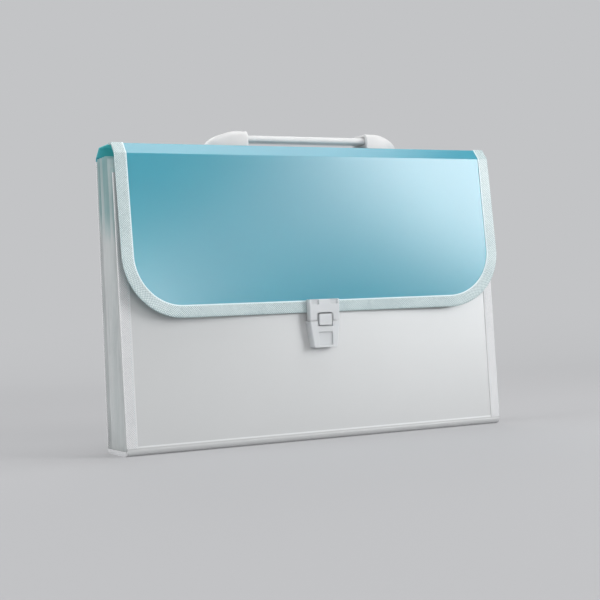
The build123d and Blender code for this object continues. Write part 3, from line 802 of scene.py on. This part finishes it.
def gusset_film(side):
    """The pleats from floor to top, with a slight sway of the film between its folds."""
    rows = []
    levels = 26
    profile = pleat_profile()
    for level in range(levels + 1):
        row = []
        for inward, share in profile:
            low, top = pleat_span(share)
            z = low + (top - low) * level / levels
            y = GUSSET_BACK + FILM_GAP + share * (front_edge_y(z) - GUSSET_BACK)
            sway = 0.00035 * math.sin(z * 55 + share * 40) + 0.00025 * math.sin(z * 131 + share * 17)
            x = OUTER_FOLD - inward + sway * min(1.0, inward / 0.004)
            row.append(Vector((side * x, y + 0.4 * sway, z)))
        rows.append(row)
    return rows


for side, word in SIDES:
    film_rows = gusset_film(side)
    film = grid_piece(f"pleats_{word}", film_rows, "film")
    flat_width = max(sum((b - a).length for a, b in zip(row, row[1:])) for row in film_rows)
    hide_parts(f"gusset_{word}")
    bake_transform(film)


# Handle

def cap_size(distance):
    """Height and half width of a cap at a distance from its mouth."""
    past = max(0.0, distance - CAP_STRAIGHT)
    height = CAP_HEIGHT - (DOME_RADIUS - math.sqrt(DOME_RADIUS ** 2 - past ** 2))
    half = CAP_HALF * math.sqrt(1 - (past / CAP_ROUND) ** 2.2)
    return height, half


def arch(half, low, high, radius):
    """A closed loop: up one side, over two round shoulders, down the other side and back below."""
    r = max(0.0002, min(radius, 0.48 * (high - low), 0.48 * half))
    points = [(-half, low + (high - r - low) * step / 6) for step in range(6)]
    for step in range(10):
        a = math.pi - math.pi / 2 * step / 9
        points.append((-half + r + r * math.cos(a), high - r + r * math.sin(a)))
    points += [((-half + r) * (1 - 2 * step / 8), high) for step in range(1, 8)]
    for step in range(10):
        a = math.pi / 2 - math.pi / 2 * step / 9
        points.append((half - r + r * math.cos(a), high - r + r * math.sin(a)))
    points += [(half, low + (high - r - low) * (1 - step / 6)) for step in range(1, 7)]
    return points + [(half * (1 - 2 * step / 6), low) for step in range(1, 6)]


def handle_cap(side):
    """Domed shell, open towards the strap through a slot over a sill."""
    base, ceiling = 0.00003, 0.0003
    lip, hollow_start, hollow_end = 0.0020, 0.0021, 0.0170

    def place(distance, loop, scale=1.0):
        x = side * (CAP_X + distance)
        middle = sum(z for _, z in loop) / len(loop)
        return [Vector((x, HANDLE_Y + y * scale, FLAP_TOP + middle + (z - middle) * scale)) for y, z in loop]

    def shell(distance, inset=0.0, low=base):
        height, half = cap_size(distance)
        return arch(half - inset, low, height - inset, CAP_SHOULDER - 0.6 * inset)

    def hollow(distance):
        return shell(distance, CAP_WALL, ceiling)

    def slot(grown=0.0, rounder=0.0):
        return arch(SLOT_HALF + grown, SLOT_LOW - grown, SLOT_HIGH + grown, SLOT_ROUND + rounder)

    rows = [place(CAP_LENGTH, shell(CAP_LENGTH - 0.0001), scale) for scale in (0.02, 0.5, 0.85, 0.97)]
    rows += [place(distance, shell(distance)) for distance in even_steps(CAP_LENGTH - 0.0002, 0.0008, 34)]
    mouth_edge = ((0.0004, 0.00004), (0.00014, 0.00016), (0.00003, 0.00034), (0.0, 0.0005))
    rows += [place(distance, shell(0.0, inset)) for distance, inset in mouth_edge]
    rows += [place(0.0, slot(0.0003, 0.0002)), place(0.0001, slot(0.00008, 0.0001))]
    rows += [place(0.0004, slot()), place(lip, slot()), place(hollow_start, hollow(0.0))]
    rows += [place(distance, hollow(distance)) for distance in even_steps(hollow_start, hollow_end, 10)[1:]]
    rows += [place(hollow_end + 0.0001, hollow(hollow_end + 0.0001), scale) for scale in (0.6, 0.02)]
    return rows


def strap_ring(width):
    """The strap cut across, as (y, z) from its middle: rounded edges and a shallow channel along its top."""
    points = []
    rim = width / 2 - STRAP_ROUND - CHANNEL_SIDE
    channel = ((1.0, 0.0), (0.92, 0.7), (0.85, 1.0), (0.0, 1.0), (-0.85, 1.0), (-0.92, 0.7), (-1.0, 0.0))
    for corner_y, corner_z, start in ((1, 1, 0), (-1, 1, 1), (-1, -1, 2), (1, -1, 3)):
        for step in range(7):
            a = math.pi / 2 * (start + step / 6)
            y = corner_y * (width / 2 - STRAP_ROUND) + STRAP_ROUND * math.cos(a)
            z = corner_z * (STRAP_THICK / 2 - STRAP_ROUND) + STRAP_ROUND * math.sin(a)
            points.append((y, z))
        if start == 0:
            points += [(rim * share, STRAP_THICK / 2 - CHANNEL_DEPTH * dip) for share, dip in channel]
    return points


def strap_half(side):
    """Half the strap, with the wide head that lies in its cap."""
    rows = []
    stations = even_steps(0.0, 0.0615, 60) + [HEAD_START + HEAD_GROWTH, 0.0640, HEAD_END - 0.0001, HEAD_END]
    for x in stations:
        wide = STRAP_WIDE + HEAD_EXTRA * max(0.0, min(1.0, (x - HEAD_START) / HEAD_GROWTH))
        squeeze = 0.05 if x == HEAD_END else 1.0
        ring = strap_ring(wide)
        rows.append([Vector((side * x, HANDLE_Y + y * squeeze, STRAP_Z + z * squeeze)) for y, z in ring])
    return rows


for side, word in SIDES:
    cap = grid_piece(f"cap_{word}", handle_cap(side), "handle", closed=True)
    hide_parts(f"handle_cap_{word}")
    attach(cap, "flap_top")

for side, word in SIDES:
    half = grid_piece(f"strap_{word}", strap_half(side), "handle", closed=True)
    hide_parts("handle_strap_grip", f"handle_strap_end_{word}")
    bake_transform(half)


# Creases: thin webs that join the sheets where they fold

def web(name, points, half_thick, material):
    """A thin strip along X over a row of (y, z) points."""
    upper, under = [], []
    for index, point in enumerate(points):
        before = points[max(index - 1, 0)]
        after = points[min(index + 1, len(points) - 1)]
        run = unit(before, after)
        upper.append((point[0] - run[1] * half_thick, point[1] + run[0] * half_thick))
        under.append((point[0] + run[1] * half_thick, point[1] - run[0] * half_thick))
    loop = upper + list(reversed(under))
    xs = [SHEET_HALF * i / 10 for i in range(-10, 11)]
    rows = [[Vector((x, y, z)) for y, z in loop] for x in xs]
    piece = grid_piece(name, rows, material, closed=True)
    close_ends(piece, len(loop), len(rows))
    return piece


def bent_line(corner, one_way, other_way, reach, steps=5):
    """Points through a corner, straight up to it on both sides."""
    def along(way, share):
        return (corner[0] + way[0] * reach * share, corner[1] + way[1] * reach * share)

    first = [along(one_way, 1 - i / steps) for i in range(steps)]
    second = [along(other_way, i / steps) for i in range(1, steps + 1)]
    return first + [corner] + second


up_bevel = unit(REAR_CREASE, REAR_CORNER)
rear_line = [(REAR_CREASE[0], REAR_CREASE[1] - drop * MM) for drop in (2.3, 1.8, 1.2, 0.8, 0.4)]
rear_line += bent_line(REAR_CREASE, (0.0, -1.0), up_bevel, REAR_WEB_REACH)[5:]
rear_web = web("rear_crease", rear_line, half_thick=0.00026, material="blue")
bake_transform(rear_web)

lean_up = (math.sin(LEAN), math.cos(LEAN))
foot = (-COVER_MIDDLE, BASE_CREASE)
base_line = bent_line(foot, (0.0, -1.0), lean_up, BASE_WEB_REACH)
base_web = web("base_crease", base_line, half_thick=0.0003, material="panel")
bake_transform(base_web)


# Materials of the CAD nodes, also of those that a piece replaces

looks = {
    "back_and_base_sheet": "panel", "front_panel": "panel", "flap_back_sheet": "blue",
    "handle_backing_plates": "backing", "handle_rivets": "rivet",
    "buckle_upper_half": "buckle", "buckle_lower_half": "buckle", "buckle_release_tongue": "buckle",
    "buckle_upper_backing": "backing", "buckle_lower_backing": "backing",
    "buckle_upper_rivets": "rivet", "buckle_lower_rivets": "rivet",
    "flap_top_strip": "blue", "flap_front_sheet": "blue",
    "flap_front_binding": "flap_tape", "flap_top_binding": "flap_tape",
    "handle_strap_grip": "handle",
}
for _, word in SIDES:
    looks[f"gusset_{word}"] = "film"
    looks[f"handle_cap_{word}"] = "handle"
    looks[f"handle_strap_end_{word}"] = "handle"
    for wall in ("back", "front", "base"):
        looks[f"{wall}_binding_{word}"] = "side_tape"
for number in range(1, PLEATS):
    looks[f"divider_{number}"] = "divider"
    looks[f"index_label_{number}"] = "paper"
for name, material in looks.items():
    dress(nodes[name], material)


# Stage, light and camera

def stage_material(name, colour, glow):
    """Plain paper; seen directly it holds an even grey far off and takes the object's shadow near by."""
    s = Shader(name)
    x, y, _ = s.axes()
    fibre = s.noise(260.0, 3.0)
    tone = s.mix(s.span(fibre, 0.3, 0.7), colour, darker(colour, 0.99))
    paper = s.principled(tone, 0.9, Specular_IOR_Level=0.1)
    even = s.surface("ShaderNodeEmission", Color=glow).outputs[0]
    far_off = s.math("SQRT", s.add(s.times(x, x), s.times(y, y)))
    light = s.node("ShaderNodeLightPath").outputs
    seen = s.math("MAXIMUM", light["Is Camera Ray"], light["Is Glossy Ray"])
    seen = s.math("MAXIMUM", seen, light["Is Transmission Ray"])
    share = s.times(s.span(far_off, 0.5, 1.7, 0.40, 1.0), seen)
    return s.done(s.blend(share, paper, even))


def sweep_backdrop():
    """Floor that curves up into a wall far behind, in one sheet."""
    floor_end, radius = 1.2, 1.2
    profile = [(-3.0, 0.0), (floor_end, 0.0)]
    for step in range(1, 13):
        a = math.pi / 2 * step / 12
        profile.append((floor_end + radius * math.sin(a), radius * (1 - math.cos(a))))
    profile.append((floor_end + radius, 4.0))
    turn = Matrix.Rotation(CAMERA_YAW, 3, "Z")
    return [[turn @ Vector((x, y, z)) for y, z in profile] for x in (-5.0, -2.0, 0.0, 2.0, 5.0)]


def area_lamp(name, place, aim, size, power):
    """A soft lamp of width and height size, turned to the aim, with its power in watts."""
    data = bpy.data.lights.new(name, "AREA")
    data.shape = "RECTANGLE"
    data.size, data.size_y = size
    data.energy = power
    lamp = bpy.data.objects.new(name, data)
    bpy.context.scene.collection.objects.link(lamp)
    lamp.location = place
    lamp.rotation_euler = (Vector(aim) - Vector(place)).to_track_quat("-Z", "Y").to_euler()


def studio_world():
    """Faint even light from all round."""
    world = bpy.data.worlds.new("studio")
    bpy.context.scene.world = world
    world.use_nodes = True
    background = world.node_tree.nodes["Background"]
    background.inputs["Color"].default_value = (0.965, 0.975, 0.985, 1)
    background.inputs["Strength"].default_value = 0.38


def photo_camera():
    """The fitted camera, turned by yaw, pitch and roll."""
    data = bpy.data.cameras.new("camera")
    data.sensor_width = 36.0
    data.sensor_fit = "HORIZONTAL"
    data.lens = 79.68
    data.clip_end = 50.0
    camera = bpy.data.objects.new("camera", data)
    bpy.context.scene.collection.objects.link(camera)
    bpy.context.scene.camera = camera
    right = Vector((math.cos(CAMERA_YAW), math.sin(CAMERA_YAW), 0))
    level = Vector((-math.sin(CAMERA_YAW), math.cos(CAMERA_YAW), 0))
    upright = Vector((0, 0, 1))
    ahead = level * math.cos(CAMERA_PITCH) - upright * math.sin(CAMERA_PITCH)
    above = upright * math.cos(CAMERA_PITCH) + level * math.sin(CAMERA_PITCH)
    cam_x = right * math.cos(CAMERA_ROLL) + above * math.sin(CAMERA_ROLL)
    cam_y = -right * math.sin(CAMERA_ROLL) + above * math.cos(CAMERA_ROLL)
    rows = [(cam_x[i], cam_y[i], -ahead[i], CAMERA_PLACE[i]) for i in range(3)]
    camera.matrix_world = Matrix((*rows, (0, 0, 0, 1)))


MATERIAL["sweep"] = stage_material("sweep", linear("A9A9AB"), linear("C3C4C6"))
grid_piece("sweep", sweep_backdrop(), "sweep")
studio_world()
area_lamp("key_right", (1.15, -1.25, 0.72), (0.05, 0.0, 0.14), (0.88, 0.96), 21.5)
area_lamp("top_soft", (0.35, -0.1, 1.6), (0.1, 0.0, 0.0), (1.1, 1.1), 14.0)
area_lamp("front_soft", (-0.45, -1.95, 0.6), OBJECT_MIDDLE, (1.2, 1.1), 13.5)
area_lamp("back_soft", (0.7, 1.75, 1.0), OBJECT_MIDDLE, (1.2, 1.2), 11.0)
area_lamp("fill_left", (-1.6, 0.1, 0.5), OBJECT_MIDDLE, (1.0, 1.0), 17.0)
photo_camera()
bpy.context.scene.view_settings.view_transform = "Standard"
